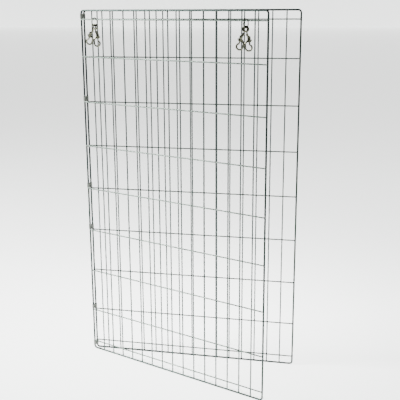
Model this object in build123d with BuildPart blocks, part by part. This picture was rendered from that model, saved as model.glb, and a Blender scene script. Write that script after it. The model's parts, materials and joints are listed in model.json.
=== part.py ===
from build123d import *
from math import cos, radians, sin
import os

# Two-panel folding wire gate, in millimetres.
# +Z is up and z = 0 is the ground. The rear panel stands in the XZ plane, facing -Y,
# and the origin is the middle of its foot. The front panel hangs on the rear panel's
# left side rod and stands part open, towards -Y.

# --- panels ---------------------------------------------------------------------
panel_width = 610.0          # over the side rods
panel_height = 1016.0        # over the top and bottom rods
frame_rod = 5.0              # diameter of the bent outer rod
corner_bend = 8.0            # centreline radius of its corners
rail_wire = 3.5              # diameter of the cross rails
upright_wire = 3.5           # diameter of the uprights
column_count = 16            # equal spaces from side rod to side rod
row_count = 8                # equal spaces from bottom rod to top rod
edge_rail_drop = 24.0        # from the top or bottom rod to the extra rail inside it
weld_overrun = 1.5           # how far short of the rod's axis a coped wire stops
bundle_count = 3             # uprights are kept in this many bundles a panel

# --- hinge ----------------------------------------------------------------------
swing_angle = 23.0           # how far the front panel stands open
clip_angle = 31.0            # how far the clips have turned about the rear side rod
rod_gap = 9.6                # between the axes of the two hinged side rods
clip_height = 13.5
clip_sheet = 1.2             # thickness of the clip's steel strip
clip_pinch = 2.8             # thickness of the clip where it is pinched between the rods
clip_seam = 0.4              # width of the open seam in the pinched stretch
clip_rows = (6, 4, 3, 1)     # rows whose rail carries a clip, besides the top and bottom
running_clearance = 0.08     # radial, for every turning or sliding fit
stand_off = 0.3              # between pieces that move past each other

# --- snap rings -----------------------------------------------------------------
ring_wire = 3.0
ring_outer = 24.0
ring_lean = 25.6             # degrees that a ring leans forward on its rail
ring_offset = 3.0            # from the middle of its column, towards the hinged side
ring_columns = (1, 14)       # columns that hold a ring, counted from the hinge
loose_contact = 0.1          # gap left where a ring hangs on its rail

# --- snaps ----------------------------------------------------------------------
# Heights in a snap are measured from the ring's lowest wire, which it hangs on.
eye_outer = 16.0
eye_wire = 3.4
eye_play = 0.5               # room for the ring's curve inside an eye
eye_spacing = 4.2            # between the two eyes on a ring
snap_leans = ((-26.0, 6.0), (-20.0, 9.0))      # degrees; a ring's left and right snap
snap_turns = (28.0, -30.0)   # degrees that their mouths are turned forward
neck_diameter = 4.0
stem_diameter = 2.6          # of the swivel stem
stem_head = 4.6              # of the head that holds the stem in its collar
stem_head_length = 1.8
collar_diameter = 6.4
collar_top = -14.0
collar_wall = 1.6            # from the collar's top to the head's chamber
shoulder_top = -17.9         # where the collar starts to widen into the barrel
barrel_top = -21.4
barrel_bottom = -35.0
barrel_diameter = 8.6
barrel_offset = 3.4          # from the swivel's axis towards the mouth
bore_top = -21.6
bolt_diameter = 4.2
bolt_travel = 5.6
bolt_top = -29.4
mouth = 5.8                  # from the barrel to the hook's tip
tip_gap = 0.1                # between the shut bolt and the tip
knob_height = -31.0
knob_stem = 2.6
knob_diameter = 4.4
knob_thickness = 2.2
hook_rod = 4.5
hook_width = 15.5            # between the centrelines of the hook's two legs
hook_depth = 54.8            # from the ring's wire down to the hook's centreline
hook_root = -29.5            # where the hook leaves the barrel
hook_bend = 7.6              # centreline radius of the bend at its foot
tip_bend = 4.5               # and where it turns in to the tip
spring_wire = 0.4
spring_coil = 3.2            # mean diameter
spring_pitch = 0.5           # while the bolt is drawn
spring_turns = 3

os.makedirs("parts", exist_ok=True)

# --- what the driving sizes give ------------------------------------------------
rod_radius = frame_rod / 2
span = panel_width - frame_rod
rise = panel_height - frame_rod
column_pitch = span / column_count
row_pitch = rise / row_count
rail_layer = rail_wire / 2        # rails and uprights touch in the frame's middle plane
upright_layer = -upright_wire / 2
rail_heights = (
    [edge_rail_drop]
    + [row_pitch * row for row in range(1, row_count)]
    + [rise - edge_rail_drop]
)

hinge_side = Vector(-span / 2, 0, rod_radius)
clip_direction = Vector(-sin(radians(clip_angle)), -cos(radians(clip_angle)), 0)
front_corner = hinge_side + clip_direction * rod_gap
front_direction = Vector(cos(radians(swing_angle)), -sin(radians(swing_angle)), 0)
front_normal = Vector(-sin(radians(swing_angle)), -cos(radians(swing_angle)), 0)

# A panel's plane: x runs from its hinged rod to its free rod, y is up, and z points
# out of its front face. The origin is where the hinged and bottom rods' axes meet.
rear_plane = Plane(origin=hinge_side, x_dir=(1, 0, 0), z_dir=(0, -1, 0))
front_plane = Plane(origin=front_corner, x_dir=front_direction, z_dir=front_normal)


def save(piece, name):
    """Label a finished part and write it as a STEP file."""
    piece.part.label = name
    export_step(piece.part, f"parts/{name}.step")


def across(plane, x, y, z=0.0):
    """Plane square to a plane's own y axis, through one of its points."""
    return Plane(origin=plane.from_local_coords(Vector(x, y, z)), x_dir=plane.x_dir, z_dir=plane.y_dir)


def along(plane, x, y, z=0.0):
    """Plane square to a plane's own x axis, through one of its points."""
    return Plane(origin=plane.from_local_coords(Vector(x, y, z)), x_dir=plane.y_dir, z_dir=plane.x_dir)


# --- panel pieces ---------------------------------------------------------------
def make_frame(plane, name):
    """Outer rod: one bent loop with four rounded corners."""
    middle = span / 2
    with BuildPart() as frame:
        with BuildLine(plane):
            FilletPolyline(
                (middle, 0), (span, 0), (span, rise), (middle, rise), radius=corner_bend
            )
        with BuildSketch(along(plane, middle, 0)):
            Circle(rod_radius)
        sweep()
        mirror(about=along(plane, middle, 0))
    save(frame, name)


def make_rail(plane, height, name):
    """Cross rail, coped round the side rods that it is welded to."""
    with BuildPart() as rail:
        with BuildSketch(along(plane, weld_overrun, height, rail_layer)):
            Circle(rail_wire / 2)
        extrude(amount=span - 2 * weld_overrun)
        with BuildSketch(across(plane, 0, height - frame_rod)):
            with Locations((0, 0), (span, 0)):
                Circle(rod_radius)
        extrude(amount=2 * frame_rod, mode=Mode.SUBTRACT)
    save(rail, name)


def make_uprights(plane, columns, name):
    """A bundle of uprights, coped round the top and bottom rods."""
    with BuildPart() as uprights:
        with BuildSketch(across(plane, 0, weld_overrun, upright_layer)):
            with Locations([(column_pitch * column, 0) for column in columns]):
                Circle(upright_wire / 2)
        extrude(amount=rise - 2 * weld_overrun)
        first = column_pitch * columns[0] - frame_rod
        last = column_pitch * columns[-1] + frame_rod
        with BuildSketch(along(plane, first, 0)):
            with Locations((0, 0), (rise, 0)):
                Circle(rod_radius)
        extrude(amount=last - first, mode=Mode.SUBTRACT)
    save(uprights, name)


def make_panel(plane, side):
    """All the welded pieces of one panel."""
    make_frame(plane, f"{side}_frame")
    for number, height in enumerate(rail_heights, start=1):
        make_rail(plane, height, f"{side}_rail_{number}")
    bundle = (column_count - 1) // bundle_count
    for number in range(bundle_count):
        first = 1 + bundle * number
        last = column_count if number == bundle_count - 1 else first + bundle
        make_uprights(plane, range(first, last), f"{side}_uprights_{number + 1}")


make_panel(rear_plane, "rear")
make_panel(front_plane, "front")

# --- hinge clips ----------------------------------------------------------------
# Each clip is a steel strip wrapped round both side rods and pinched between them.
# It sits on the weld of a rail, which keeps it from sliding down.
bore_radius = rod_radius + running_clearance
clip_radius = bore_radius + clip_sheet
rest_on_rail = rail_wire / 2 + stand_off
clip_heights = (
    [corner_bend + stand_off]
    + [row_pitch * row + rest_on_rail for row in sorted(clip_rows)]
    + [rise - edge_rail_drop + rest_on_rail]
)


def make_clip(height, name):
    """One hinge clip, with its lower end at this height above the rods' foot."""
    foot = hinge_side + Vector(0, 0, height)
    base = Plane(origin=foot, x_dir=clip_direction, z_dir=(0, 0, 1))
    with BuildPart() as clip:
        with BuildSketch(base):
            with Locations((0, 0), (rod_gap, 0)):
                Circle(clip_radius)
            with Locations((rod_gap / 2, 0)):
                Rectangle(rod_gap, clip_pinch)
            with Locations((0, 0), (rod_gap, 0)):
                Circle(bore_radius, mode=Mode.SUBTRACT)
            with Locations((rod_gap / 2, 0)):
                Rectangle(rod_gap, clip_seam, mode=Mode.SUBTRACT)
        extrude(amount=clip_height)
        with BuildSketch(base):
            with Locations((rod_gap / 2, 0)):
                Rectangle(clip_sheet, clip_seam)
        extrude(amount=clip_height)
    save(clip, name)


for number, height in enumerate(clip_heights, start=1):
    make_clip(height, f"hinge_clip_{number}")

# --- snap rings and snaps -------------------------------------------------------
ring_radius = (ring_outer - ring_wire) / 2
ring_hang = ring_radius - ring_wire / 2 - rail_wire / 2 - loose_contact
ring_centre_y = -ring_hang * cos(radians(ring_lean))
ring_centre_z = ring_hang * sin(radians(ring_lean))
eye_radius = (eye_outer - eye_wire) / 2
eye_centre = eye_wire / 2 + ring_wire / 2 + eye_play - eye_radius
head_top = collar_top - collar_wall - running_clearance
head_bottom = head_top - stem_head_length
tip_height = barrel_bottom - mouth
knob_seat = barrel_offset + barrel_diameter / 2 + stand_off     # the knob's inner face
half_hook = hook_width / 2


def tilted(plane, lean):
    """The same plane turned in itself, so that what hangs in it leans to its +x side."""
    x_dir = plane.x_dir * cos(radians(lean)) + plane.y_dir * sin(radians(lean))
    return Plane(origin=plane.origin, x_dir=x_dir, z_dir=plane.z_dir)


def turned(plane, side, turn):
    """A plane about the same y axis whose x axis points to one side, turned forward."""
    x_dir = plane.x_dir * (side * cos(radians(turn))) + plane.z_dir * sin(radians(turn))
    return Plane(origin=plane.origin, x_dir=x_dir, z_dir=x_dir.cross(plane.y_dir))


def make_ring(rail_spot, name):
    """Closed wire ring that hangs on the top edge rail."""
    centre = rail_spot.from_local_coords(Vector(0, ring_centre_y, ring_centre_z))
    with BuildPart() as ring:
        with BuildSketch(Plane(origin=centre, x_dir=rail_spot.x_dir, z_dir=rail_spot.z_dir)):
            with Locations((0, -ring_radius)):
                Circle(ring_wire / 2)
        revolve(axis=Axis(centre, rail_spot.x_dir))
    save(ring, name)


def make_eye(plane, name):
    """Swivel eye with its neck, and the stem and head that stay in the snap's collar."""
    centre = plane.from_local_coords(Vector(0, eye_centre, 0))
    with BuildPart() as eye:
        with BuildSketch(Plane(origin=centre, x_dir=plane.z_dir, z_dir=-plane.x_dir)):
            with Locations((0, -eye_radius)):
                Circle(eye_wire / 2)
        revolve(axis=Axis(centre, plane.z_dir))
        with BuildSketch(across(plane, 0, head_bottom)):
            Circle(stem_head / 2)
        extrude(amount=stem_head_length)
        with BuildSketch(across(plane, 0, head_bottom)):
            Circle(stem_diameter / 2)
        extrude(amount=collar_top + stand_off - head_bottom)
        with BuildSketch(across(plane, 0, collar_top + stand_off)):
            Circle(neck_diameter / 2)
        extrude(amount=eye_centre - eye_radius - collar_top - stand_off)
    save(eye, name)


def make_snap(plane, name):
    """Snap body: collar, barrel and hook. The mouth is on the plane's +x side."""
    with BuildPart() as snap:
        with BuildSketch(across(plane, 0, shoulder_top)):
            Circle(collar_diameter / 2)
        with BuildSketch(across(plane, barrel_offset, barrel_top)):
            Circle(barrel_diameter / 2)
        loft()
        with BuildSketch(across(plane, 0, shoulder_top)):
            Circle(collar_diameter / 2)
        extrude(amount=collar_top - shoulder_top)
        with BuildSketch(across(plane, barrel_offset, barrel_bottom)):
            Circle(barrel_diameter / 2)
        extrude(amount=barrel_top - barrel_bottom)
        with BuildLine(plane) as hook:
            FilletPolyline(
                (0, hook_root),
                (-half_hook, hook_root - half_hook),
                (-half_hook, -hook_depth),
                (half_hook, -hook_depth),
                (half_hook, tip_height - tip_bend),
                (barrel_offset - hook_rod / 4, tip_height + hook_rod / 2),
                radius=[tip_bend, hook_bend, hook_bend, tip_bend],
            )
        path = hook.wire()
        with BuildSketch(Plane(origin=path @ 0, z_dir=path % 0)):
            Circle(hook_rod / 2)
        sweep(path=path)
        with BuildSketch(across(plane, barrel_offset, tip_height)):
            Circle(hook_rod)
        extrude(amount=mouth, mode=Mode.SUBTRACT)
        with BuildSketch(across(plane, barrel_offset, barrel_bottom)):
            Circle(bolt_diameter / 2 + running_clearance)
        extrude(amount=bore_top - barrel_bottom, mode=Mode.SUBTRACT)
        with BuildSketch(across(plane, 0, head_bottom - running_clearance)):
            Circle(stem_head / 2 + running_clearance)
        extrude(amount=stem_head_length + 2 * running_clearance, mode=Mode.SUBTRACT)
        with BuildSketch(across(plane, 0, head_top)):
            Circle(stem_diameter / 2 + running_clearance)
        extrude(amount=collar_top - head_top, mode=Mode.SUBTRACT)
        slot_middle = knob_height + bolt_travel / 2
        slot_width = knob_stem + 2 * stand_off
        with BuildSketch(along(plane, barrel_offset, slot_middle)):
            SlotCenterToCenter(bolt_travel, slot_width)
        extrude(amount=barrel_diameter, mode=Mode.SUBTRACT)
    save(snap, name)


def make_bolt(plane, name):
    """Round bolt with its thumb knob."""
    with BuildPart() as bolt:
        with BuildSketch(across(plane, barrel_offset, tip_height + tip_gap)):
            Circle(bolt_diameter / 2)
        extrude(amount=bolt_top - tip_height - tip_gap)
        with BuildSketch(along(plane, barrel_offset, knob_height)):
            Circle(knob_stem / 2)
        extrude(amount=knob_seat - barrel_offset)
        with BuildSketch(along(plane, knob_seat, knob_height)):
            Circle(knob_diameter / 2)
        extrude(amount=knob_thickness)
    save(bolt, name)


def make_spring(plane, name):
    """Bolt spring, drawn as short as it gets and standing on the bolt."""
    foot = across(plane, barrel_offset, bolt_top + spring_wire / 2 + stand_off / 3)
    with BuildPart() as spring:
        with BuildLine() as coil:
            Helix(
                spring_pitch,
                spring_pitch * spring_turns,
                spring_coil / 2,
                center=foot.origin,
                direction=foot.z_dir,
            )
        path = coil.wire()
        with BuildSketch(Plane(origin=path @ 0, z_dir=path % 0)):
            Circle(spring_wire / 2)
        sweep(path=path, is_frenet=True)
    save(spring, name)


for ring_number, column in enumerate(ring_columns, start=1):
    ring_x = column_pitch * (column + 0.5) - ring_offset
    ring_spot = along(front_plane, ring_x, rise - edge_rail_drop, rail_layer)
    rail_spot = Plane(origin=ring_spot.origin, x_dir=front_direction, z_dir=front_normal)
    make_ring(rail_spot, f"ring_{ring_number}")
    for side, lean, turn in zip((-1, 1), snap_leans[ring_number - 1], snap_turns):
        hang = Vector(0, ring_centre_y - ring_radius, ring_centre_z - side * eye_spacing / 2)
        spot = Plane(
            origin=rail_spot.from_local_coords(hang), x_dir=front_direction, z_dir=front_normal
        )
        eye_plane = tilted(spot, lean)
        snap_plane = turned(eye_plane, side, turn)
        snap_name = f"snap_{ring_number}_{'left' if side < 0 else 'right'}"
        make_eye(eye_plane, f"{snap_name}_eye")
        make_snap(snap_plane, f"{snap_name}_body")
        make_bolt(snap_plane, f"{snap_name}_bolt")
        make_spring(snap_plane, f"{snap_name}_spring")
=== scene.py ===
import json
import math

import bmesh
import bpy
from mathutils import Matrix, Vector


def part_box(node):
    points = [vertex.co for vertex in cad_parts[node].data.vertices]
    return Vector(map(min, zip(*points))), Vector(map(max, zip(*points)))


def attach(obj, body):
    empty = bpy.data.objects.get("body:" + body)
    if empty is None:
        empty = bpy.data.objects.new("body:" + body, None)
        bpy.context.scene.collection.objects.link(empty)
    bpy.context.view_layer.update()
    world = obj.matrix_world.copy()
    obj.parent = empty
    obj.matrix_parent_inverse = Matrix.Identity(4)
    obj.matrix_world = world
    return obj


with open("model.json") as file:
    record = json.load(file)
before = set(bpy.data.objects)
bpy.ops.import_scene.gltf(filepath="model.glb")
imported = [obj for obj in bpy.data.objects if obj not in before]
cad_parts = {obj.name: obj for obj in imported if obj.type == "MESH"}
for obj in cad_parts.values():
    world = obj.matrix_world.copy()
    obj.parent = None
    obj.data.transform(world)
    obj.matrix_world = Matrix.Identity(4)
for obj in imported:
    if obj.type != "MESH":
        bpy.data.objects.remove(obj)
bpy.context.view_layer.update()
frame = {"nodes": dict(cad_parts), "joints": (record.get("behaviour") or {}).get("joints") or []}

nodes = frame["nodes"]

# Thickness of the outer rod and of the thin wires, in metres.
ROD = 0.005
WIRE = 0.0035
# Cells across a panel, and its cross rails.
COLUMNS = 16
RAILS = 9
# What tells one weld's lumps from the next one's.
SEED_STEP = 1.37
# How far off the floor's cards stand, and how high they reach, in metres.
EDGE = 40.0
CARD_MIDDLE = 4.0
CARD_HALF_HEIGHT = 8.0
# The base of the light pool's falling-off.
FALL_OFF = 2.718


# --- materials: shader maths written as plain expressions ---

class Value:
    """A socket's value, so that shader maths reads like arithmetic."""

    def __init__(self, finish, socket):
        self.finish = finish
        self.socket = socket

    def maths(self, operation, *others):
        return self.finish.node("ShaderNodeMath", {"operation": operation}, {
            index: value for index, value in enumerate((self, *others))
        })

    def swapped(self, operation, other):
        return self.finish.node("ShaderNodeMath", {"operation": operation}, {0: other, 1: self})

    def __add__(self, other):
        return self.maths("ADD", other)

    def __radd__(self, other):
        return self.swapped("ADD", other)

    def __sub__(self, other):
        return self.maths("SUBTRACT", other)

    def __mul__(self, other):
        return self.maths("MULTIPLY", other)

    def __rpow__(self, other):
        return self.swapped("POWER", other)

    def clamped(self):
        return self.finish.node("ShaderNodeClamp", {}, {"Value": self})

    def step(self, low, high):
        """0 below low, 1 above high, smooth between."""
        return self.finish.node(
            "ShaderNodeMapRange",
            {"interpolation_type": "SMOOTHSTEP"},
            {"Value": self, "From Min": low, "From Max": high},
        )


class Finish:
    """One material, its principled shader and the nodes that feed it."""

    def __init__(self, name):
        self.material = bpy.data.materials.new(name)
        self.material.use_nodes = True
        self.tree = self.material.node_tree
        self.shader = next(n for n in self.tree.nodes if n.type == "BSDF_PRINCIPLED")

    def node(self, kind, settings, inputs, output=0):
        """Any node: its settings, then the values or links of its sockets."""
        made = self.tree.nodes.new(kind)
        for key, value in settings.items():
            if key == "stops":
                ramp = made.color_ramp
                while len(ramp.elements) < len(value):
                    ramp.elements.new(1.0)
                for element, (place, colour) in zip(ramp.elements, value):
                    element.position = place
                    element.color = (*colour, 1.0)
            else:
                setattr(made, key, value)
        self.fill(made, inputs)
        return Value(self, made.outputs[output])

    def fill(self, made, inputs):
        for key, value in inputs.items():
            if isinstance(value, Value):
                self.tree.links.new(value.socket, made.inputs[key])
            else:
                made.inputs[key].default_value = value

    def set(self, **inputs):
        self.fill(self.shader, {key.replace("_", " "): value for key, value in inputs.items()})

    def place(self):
        return self.node("ShaderNodeTexCoord", {}, {}, "Object")

    def noise(self, where, scale, detail=3.0, roughness=0.55):
        return self.node("ShaderNodeTexNoise", {}, {
            "Vector": where, "Scale": scale, "Detail": detail, "Roughness": roughness,
        }, "Fac")

    def stretched(self, where, scale):
        return self.node("ShaderNodeMapping", {}, {"Vector": where, "Scale": scale}, "Vector")

    def blend(self, share, first, second):
        return self.node("ShaderNodeMix", {"data_type": "RGBA"}, {0: share, 6: first, 7: second}, 2)

    def ramp(self, share, *stops):
        return self.node("ShaderNodeValToRGB", {"stops": stops}, {"Fac": share}, "Color")

    def bumps(self, height, depth, strength=1.0):
        self.set(Normal=self.node("ShaderNodeBump", {}, {
            "Height": height, "Distance": depth, "Strength": strength,
        }, "Normal"))

    def edges(self):
        """1 on worn outside edges, 0 on flat ground."""
        return self.node("ShaderNodeNewGeometry", {}, {}, "Pointiness").step(0.52, 0.6)


def zinc_plate(name, grain, base, shade):
    """Electro-galvanised wire: drawn grain along the wire, mottled plating, dull patches."""
    finish = Finish(name)
    where = finish.place()
    drawn = finish.noise(finish.stretched(where, grain), 1.0, 4.0)
    mottle = finish.noise(where, 140.0, 4.0, 0.6)
    cloud = finish.noise(where, 9.0, 3.0)
    specks = finish.noise(where, 900.0, 2.0).step(0.62, 0.75)
    tone = finish.blend((mottle * 0.6 + cloud * 0.6 - 0.1).clamped(), (*base, 1.0), (*shade, 1.0))
    streaked = finish.blend(drawn.step(0.35, 0.75) * 0.35, tone, (0.02, 0.026, 0.023, 1.0))
    finish.set(
        Base_Color=finish.blend(specks * 0.25, streaked, (0.45, 0.48, 0.42, 1.0)),
        Metallic=1.0,
        Roughness=0.14 + mottle * 0.14 + drawn * 0.1,
    )
    finish.bumps(drawn * 0.6 + mottle * 0.4, 0.00006, 0.6)
    return finish.material


def strip_steel():
    """Dark passivated strip of the hinge clips, rubbed bright along its bends."""
    finish = Finish("hinge_clip_steel")
    where = finish.place()
    blotch = finish.noise(where, 260.0, 4.0, 0.6)
    scratch = finish.noise(finish.stretched(where, (900.0, 900.0, 60.0)), 1.0, 3.0)
    worn = (finish.edges() * (0.1 + blotch * 0.5)).clamped()
    base = finish.blend(blotch, (0.008, 0.012, 0.01, 1.0), (0.025, 0.033, 0.028, 1.0))
    bright = (worn + scratch.step(0.66, 0.8) * 0.15).clamped()
    finish.set(
        Base_Color=finish.blend(bright, base, (0.35, 0.36, 0.33, 1.0)),
        Metallic=0.7,
        Roughness=0.34 + blotch * 0.25,
    )
    finish.bumps(blotch * 0.5 + scratch * 0.5, 0.00008, 0.6)
    return finish.material


def nickel_plate(name, base, shade, roughness):
    """Bright nickel over a die casting: faint ripple, painted reflection as dark and bright
    patches, fine scratches.
    """
    finish = Finish(name)
    where = finish.place()
    ripple = finish.noise(where, 320.0, 3.0)
    painted_reflection_patch = finish.noise(where, 150.0, 4.0, 0.65)
    drawn = finish.stretched(where, (1500.0, 1500.0, 120.0))
    scratch = finish.noise(drawn, 1.0, 2.0).step(0.62, 0.8)
    # Painted reflection: random patches turn the plating from its base colour to a near-black
    # shade, standing in for its dark and bright reflections.
    tone = finish.blend(painted_reflection_patch.step(0.42, 0.6), (*base, 1.0), (*shade, 1.0))
    finish.set(
        Base_Color=finish.blend(scratch * 0.35, tone, (0.3, 0.28, 0.22, 1.0)),
        Metallic=1.0,
        Roughness=roughness + painted_reflection_patch * 0.12 + scratch * 0.15,
    )
    finish.bumps(ripple * 0.7 + painted_reflection_patch * 0.3, 0.00012, 0.5)
    return finish.material


def weld_metal():
    """Squeezed-out weld: burnt plating, darker and rougher than the wire."""
    finish = Finish("weld_metal")
    where = finish.place()
    crust = finish.noise(where, 700.0, 4.0, 0.65)
    finish.set(
        Base_Color=finish.ramp(
            crust,
            (0.3, (0.09, 0.10, 0.09)), (0.55, (0.25, 0.26, 0.23)), (0.8, (0.42, 0.40, 0.33)),
        ),
        Metallic=0.75,
        Roughness=0.38 + crust * 0.3,
    )
    finish.bumps(crust, 0.0002, 0.8)
    return finish.material


def pale_floor():
    """Plain pale studio floor: a pool of light under the gate, dimmer towards the front."""
    finish = Finish("studio_floor")
    where = finish.place()
    grain = finish.noise(where, 60.0, 3.0)
    behind = finish.node("ShaderNodeSeparateXYZ", {}, {"Vector": where}, "Y").step(-1.6, 0.6)
    reach = finish.node("ShaderNodeVectorMath", {"operation": "LENGTH"}, {0: where}, "Value")
    pool = FALL_OFF ** (reach * reach * -1.1)
    light = finish.blend(behind, (0.6, 0.66, 0.62, 1.0), (1.5, 1.52, 1.5, 1.0))
    finish.set(
        Base_Color=finish.blend(grain, (0.9, 0.92, 0.905, 1.0), (0.93, 0.945, 0.935, 1.0)),
        Roughness=0.8,
        Emission_Color=finish.node("ShaderNodeVectorMath", {"operation": "SCALE"}, {
            0: light, "Scale": 1.0 + pool * 1.6,
        }, "Vector"),
        Emission_Strength=1.0,
    )
    return finish.material


def card(name, glow):
    """Plain card that closes an edge of the floor."""
    finish = Finish(name)
    finish.set(Emission_Color=(1.0, 1.03, 1.01, 1.0), Emission_Strength=glow)
    return finish.material


# The drawn grain's scale: fine across a wire, long along it, and even on the bent rods.
along_z = (700.0, 700.0, 25.0)
along_x = (25.0, 700.0, 700.0)
even = (300.0, 300.0, 300.0)
upright_zinc = zinc_plate(
    "zinc_plated_upright", along_z, (0.055, 0.075, 0.068), (0.022, 0.032, 0.029)
)
rail_zinc = zinc_plate("zinc_plated_rail", along_x, (0.075, 0.092, 0.08), (0.035, 0.047, 0.04))
rod_zinc = zinc_plate("zinc_plated_rod", even, (0.03, 0.042, 0.038), (0.013, 0.019, 0.017))
clip_finish = strip_steel()
# The second colour of each nickel finish is the painted dark of its reflection patches.
snap_nickel = nickel_plate("snap_nickel", (0.13, 0.13, 0.095), (0.015, 0.016, 0.009), 0.08)
bolt_nickel = nickel_plate("bolt_nickel", (0.3, 0.29, 0.24), (0.03, 0.028, 0.018), 0.12)
ring_nickel = nickel_plate("ring_nickel", (0.07, 0.074, 0.055), (0.012, 0.014, 0.009), 0.12)
spring_finish = nickel_plate("spring_steel", (0.3, 0.3, 0.3), (0.2, 0.2, 0.19), 0.3)
weld_finish = weld_metal()


def finish_for(name):
    if name.startswith("hinge_clip"):
        return clip_finish
    if name.startswith("ring"):
        return ring_nickel
    if name.endswith("spring"):
        return spring_finish
    if name.endswith("bolt"):
        return bolt_nickel
    if name.startswith("snap"):
        return snap_nickel
    if "rail" in name:
        return rail_zinc
    if "uprights" in name:
        return upright_zinc
    return rod_zinc


for name, node in nodes.items():
    for slot in node.material_slots:
        slot.material = finish_for(name)


# --- where each panel stands ---

class Panel:
    """A panel's own axes: x from its hinged rod, y up, z out of its front face."""

    def __init__(self, side, origin, direction):
        self.side = side
        self.origin = origin
        self.direction = direction
        self.front = direction.cross(Vector((0, 0, 1)))
        self.frame = Matrix((direction, Vector((0, 0, 1)), self.front)).transposed().to_4x4()
        self.frame.translation = origin
        self.span = abs((self.far_edge() - origin).dot(direction)) - ROD / 2
        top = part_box(f"{side}_frame")[1].z
        self.rise = top - ROD

    def far_edge(self):
        low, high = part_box(f"{self.side}_frame")
        return Vector((high.x, low.y if self.direction.y < 0 else 0.0, self.origin.z))

    def rail_heights(self):
        found = []
        for number in range(1, RAILS + 1):
            low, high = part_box(f"{self.side}_rail_{number}")
            found.append((low.z + high.z) / 2 - self.origin.z)
        return found

    def upright_places(self):
        return [self.span * column / COLUMNS for column in range(1, COLUMNS)]


joints = {joint["name"]: joint for joint in frame["joints"]}
rod_foot = ROD / 2
rear_hinge = Vector(joints["clip_turn"]["pos_m"])
front_hinge = Vector(joints["panel_swing"]["pos_m"])
front_low, front_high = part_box("front_frame")
free_rod = Vector((front_high.x - ROD / 2, front_low.y + ROD / 2, front_hinge.z))
rear = Panel("rear", Vector((rear_hinge.x, 0, rod_foot)), Vector((1, 0, 0)))
front = Panel(
    "front", Vector((front_hinge.x, front_hinge.y, rod_foot)), (free_rod - front_hinge).normalized()
)


# --- spot welds ---

def rough(seed):
    """A repeatable number from 0 to 1."""
    return math.modf(abs(math.sin(seed * 12.9898) * 43758.5453))[0]


def add_weld(mesh, centre, size, seed):
    """One squeezed-out weld: a lumpy lens with its own shape."""
    made = bmesh.ops.create_icosphere(mesh, subdivisions=2, radius=1.0)
    for vertex in made["verts"]:
        lump = 1 + 0.16 * math.sin(3 * vertex.co.x + seed) * math.cos(4 * vertex.co.y + 2 * seed)
        swell = 0.9 + 0.2 * rough(seed)
        vertex.co = Vector((
            centre.x + vertex.co.x * size.x * lump * swell,
            centre.y + vertex.co.y * size.y * lump * swell,
            centre.z + vertex.co.z * size.z * lump,
        ))


def make_welds(panel):
    """Every weld of one panel as one piece."""
    mesh = bmesh.new()
    crossing = Vector((0.55 * WIRE, 0.55 * WIRE, 0.27 * WIRE))
    on_side_rod = Vector((0.4 * WIRE, 0.57 * WIRE, 0.4 * WIRE))
    on_end_rod = Vector((0.57 * WIRE, 0.4 * WIRE, 0.4 * WIRE))
    from_rod = 0.42 * ROD
    from_middle = 0.52 * WIRE
    seed = 1.0
    for height in panel.rail_heights():
        for place in panel.upright_places():
            add_weld(mesh, Vector((place, height, 0)), crossing, seed)
            seed += SEED_STEP
        for rod, inward in ((0.0, 1), (panel.span, -1)):
            centre = Vector((rod + inward * from_rod, height, from_middle))
            add_weld(mesh, centre, on_side_rod, seed)
            seed += SEED_STEP
    for place in panel.upright_places():
        for rod, inward in ((0.0, 1), (panel.rise, -1)):
            centre = Vector((place, rod + inward * from_rod, -from_middle))
            add_weld(mesh, centre, on_end_rod, seed)
            seed += SEED_STEP
    data = bpy.data.meshes.new(f"{panel.side}_welds")
    mesh.to_mesh(data)
    mesh.free()
    for polygon in data.polygons:
        polygon.use_smooth = True
    data.materials.append(weld_finish)
    welds = bpy.data.objects.new(f"{panel.side}_welds", data)
    bpy.context.scene.collection.objects.link(welds)
    welds.matrix_world = panel.frame
    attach(welds, f"{panel.side}_panel")


make_welds(rear)
make_welds(front)


# --- studio ---

def add_sheet(name, finish, place, size, tilt=0.0, turn=0.0):
    """A flat sheet of the studio: tilted up from the floor, then turned about the upright."""
    mesh = bmesh.new()
    bmesh.ops.create_grid(mesh, x_segments=2, y_segments=2, size=1.0)
    data = bpy.data.meshes.new(name)
    mesh.to_mesh(data)
    mesh.free()
    data.materials.append(finish)
    sheet = bpy.data.objects.new(name, data)
    bpy.context.scene.collection.objects.link(sheet)
    stood = Matrix.Rotation(turn, 4, "Z") @ Matrix.Rotation(tilt, 4, "X")
    sheet.data.transform(Matrix.Translation(place) @ stood @ Matrix.Diagonal((*size, 1.0, 1.0)))


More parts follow.
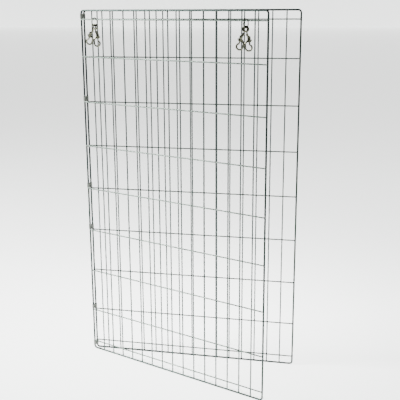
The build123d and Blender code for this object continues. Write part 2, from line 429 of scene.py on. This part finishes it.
def add_softbox(name, place, target, size, power):
    """A plain white area light that points at target."""
    data = bpy.data.lights.new(name, "AREA")
    data.shape = "RECTANGLE"
    data.size, data.size_y = size
    data.energy = power
    light = bpy.data.objects.new(name, data)
    bpy.context.scene.collection.objects.link(light)
    light.location = place
    light.rotation_euler = (Vector(target) - Vector(place)).to_track_quat("-Z", "Y").to_euler()


add_sheet("studio_floor", pale_floor(), (0, 0, 0), (45.0, 45.0))
quarter_turn = math.pi / 2
card_size = (EDGE, CARD_HALF_HEIGHT)
white_card = card("white_card", 1.5)
grey_card = card("pale_grey_card", 0.65)
add_sheet("back_card", white_card, (0, EDGE, CARD_MIDDLE), card_size, quarter_turn)
add_sheet("front_card", grey_card, (0, -EDGE, CARD_MIDDLE), card_size, quarter_turn)
add_sheet(
    "left_card", grey_card, (-EDGE, 0, CARD_MIDDLE), card_size, quarter_turn, quarter_turn
)
add_sheet(
    "right_card", grey_card, (EDGE, 0, CARD_MIDDLE), card_size, quarter_turn, quarter_turn
)
add_softbox("left_softbox", (-2.6, -0.75, 2.6), (0, -0.1, 0.6), (1.0, 1.0), 420)
add_softbox("top_softbox", (0.9, 1.8, 3.0), (0, -0.1, 0.5), (1.2, 1.2), 25)
add_softbox("right_softbox", (2.6, -1.5, 1.5), (0, -0.1, 0.5), (0.8, 1.4), 10)

world = bpy.data.worlds.new("studio")
bpy.context.scene.world = world
world.use_nodes = True
backdrop = world.node_tree.nodes["Background"]
backdrop.inputs["Color"].default_value = (0.93, 0.96, 0.95, 1.0)
backdrop.inputs["Strength"].default_value = 0.22

# The view: where the camera stands, where it looks, and how long its lens is.
camera_data = bpy.data.cameras.new("camera")
camera_data.lens = 71.55
camera_data.shift_y = 0.05
camera_data.sensor_width = 36.0
camera_data.dof.use_dof = False
camera = bpy.data.objects.new("camera", camera_data)
bpy.context.scene.collection.objects.link(camera)
yaw, pitch, roll = (math.radians(angle) for angle in (-12.68, 15.03, -0.28))
sight = Vector((
    math.sin(yaw) * math.cos(pitch), math.cos(yaw) * math.cos(pitch), -math.sin(pitch)
))
camera.location = (0.5139, -2.1659, 1.0226)
camera.rotation_euler = (
    sight.to_track_quat("-Z", "Y").to_matrix() @ Matrix.Rotation(roll, 3, "Z")
).to_euler()
bpy.context.scene.camera = camera
